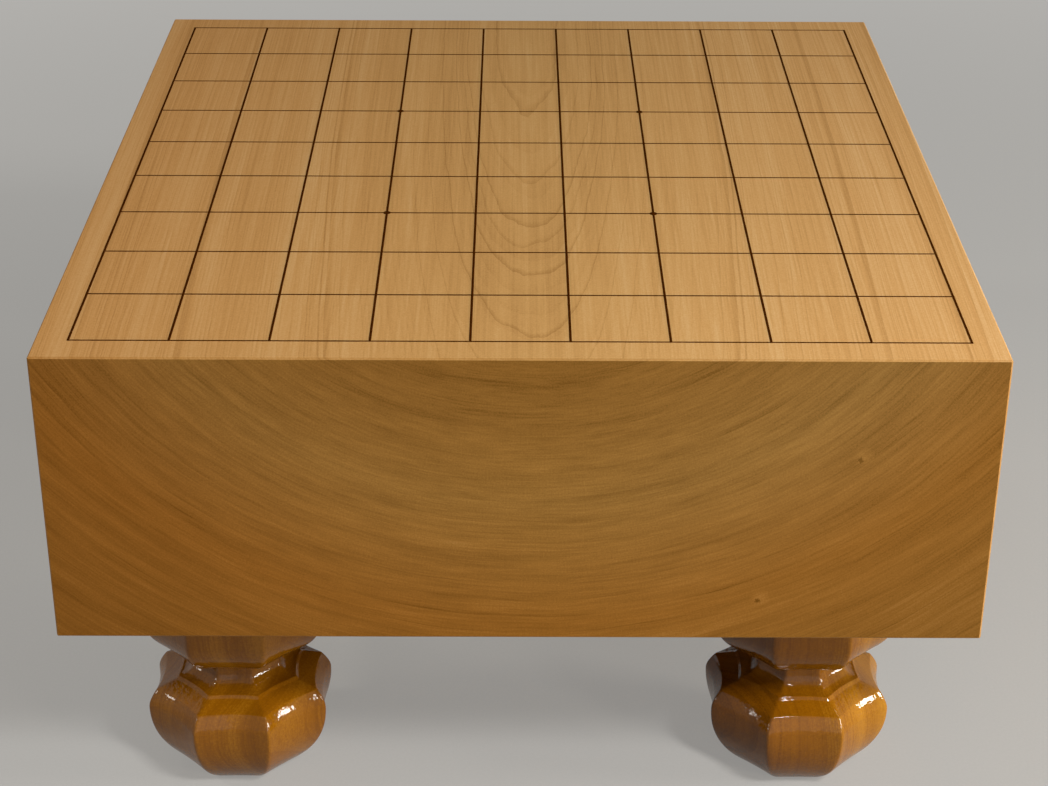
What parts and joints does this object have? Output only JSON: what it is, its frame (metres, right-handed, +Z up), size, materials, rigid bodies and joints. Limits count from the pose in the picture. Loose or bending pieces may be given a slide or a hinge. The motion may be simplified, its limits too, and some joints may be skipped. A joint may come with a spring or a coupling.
{
  "type": "legged shogi board",
  "caption": "Thick solid wooden game board with a raised lacquer grid and star points, standing on carved eight-sided legs that plug into its underside.",
  "frame": {"origin": "on the floor under the middle of the board, level with the flats of the feet", "axes": "+X across the board to the right of the near player, +Y away from the near player along the board, +Z up"},
  "size_m": [0.333, 0.364, 0.2031],
  "materials": {
    "board_wood": "planed softwood, waxed to a low satin, end grain darker",
    "leg_wood": "carved hardwood under a clear glossy lacquer",
    "grid_lacquer": "near-black lacquer standing proud of the wood"
  },
  "bodies": {
    "board": {"board_block": "board_wood", "crosswise_line_1": "grid_lacquer", "crosswise_line_2": "grid_lacquer", "crosswise_line_3": "grid_lacquer", "crosswise_line_4": "grid_lacquer", "crosswise_line_5": "grid_lacquer", "crosswise_line_6": "grid_lacquer", "crosswise_line_7": "grid_lacquer", "crosswise_line_8": "grid_lacquer", "crosswise_line_9": "grid_lacquer", "crosswise_line_10": "grid_lacquer", "lengthwise_line_1": "grid_lacquer", "lengthwise_line_2": "grid_lacquer", "lengthwise_line_3": "grid_lacquer", "lengthwise_line_4": "grid_lacquer", "lengthwise_line_5": "grid_lacquer", "lengthwise_line_6": "grid_lacquer", "lengthwise_line_7": "grid_lacquer", "lengthwise_line_8": "grid_lacquer", "lengthwise_line_9": "grid_lacquer", "lengthwise_line_10": "grid_lacquer", "star_point_front_left": "grid_lacquer", "star_point_front_right": "grid_lacquer", "star_point_rear_left": "grid_lacquer", "star_point_rear_right": "grid_lacquer"},
    "leg_front_left": {"leg_front_left": "leg_wood"},
    "leg_front_right": {"leg_front_right": "leg_wood"},
    "leg_rear_left": {"leg_rear_left": "leg_wood"},
    "leg_rear_right": {"leg_rear_right": "leg_wood"}
  },
  "joints": [
    {"name": "leg_front_left_pull", "type": "slide", "parent": "board", "child": "leg_front_left", "axis": [0, 0, -1], "range_m": [0, 0.034]},
    {"name": "leg_front_right_pull", "type": "slide", "parent": "board", "child": "leg_front_right", "axis": [0, 0, -1], "range_m": [0, 0.034]},
    {"name": "leg_rear_left_pull", "type": "slide", "parent": "board", "child": "leg_rear_left", "axis": [0, 0, -1], "range_m": [0, 0.034]},
    {"name": "leg_rear_right_pull", "type": "slide", "parent": "board", "child": "leg_rear_right", "axis": [0, 0, -1], "range_m": [0, 0.034]}
  ]
}
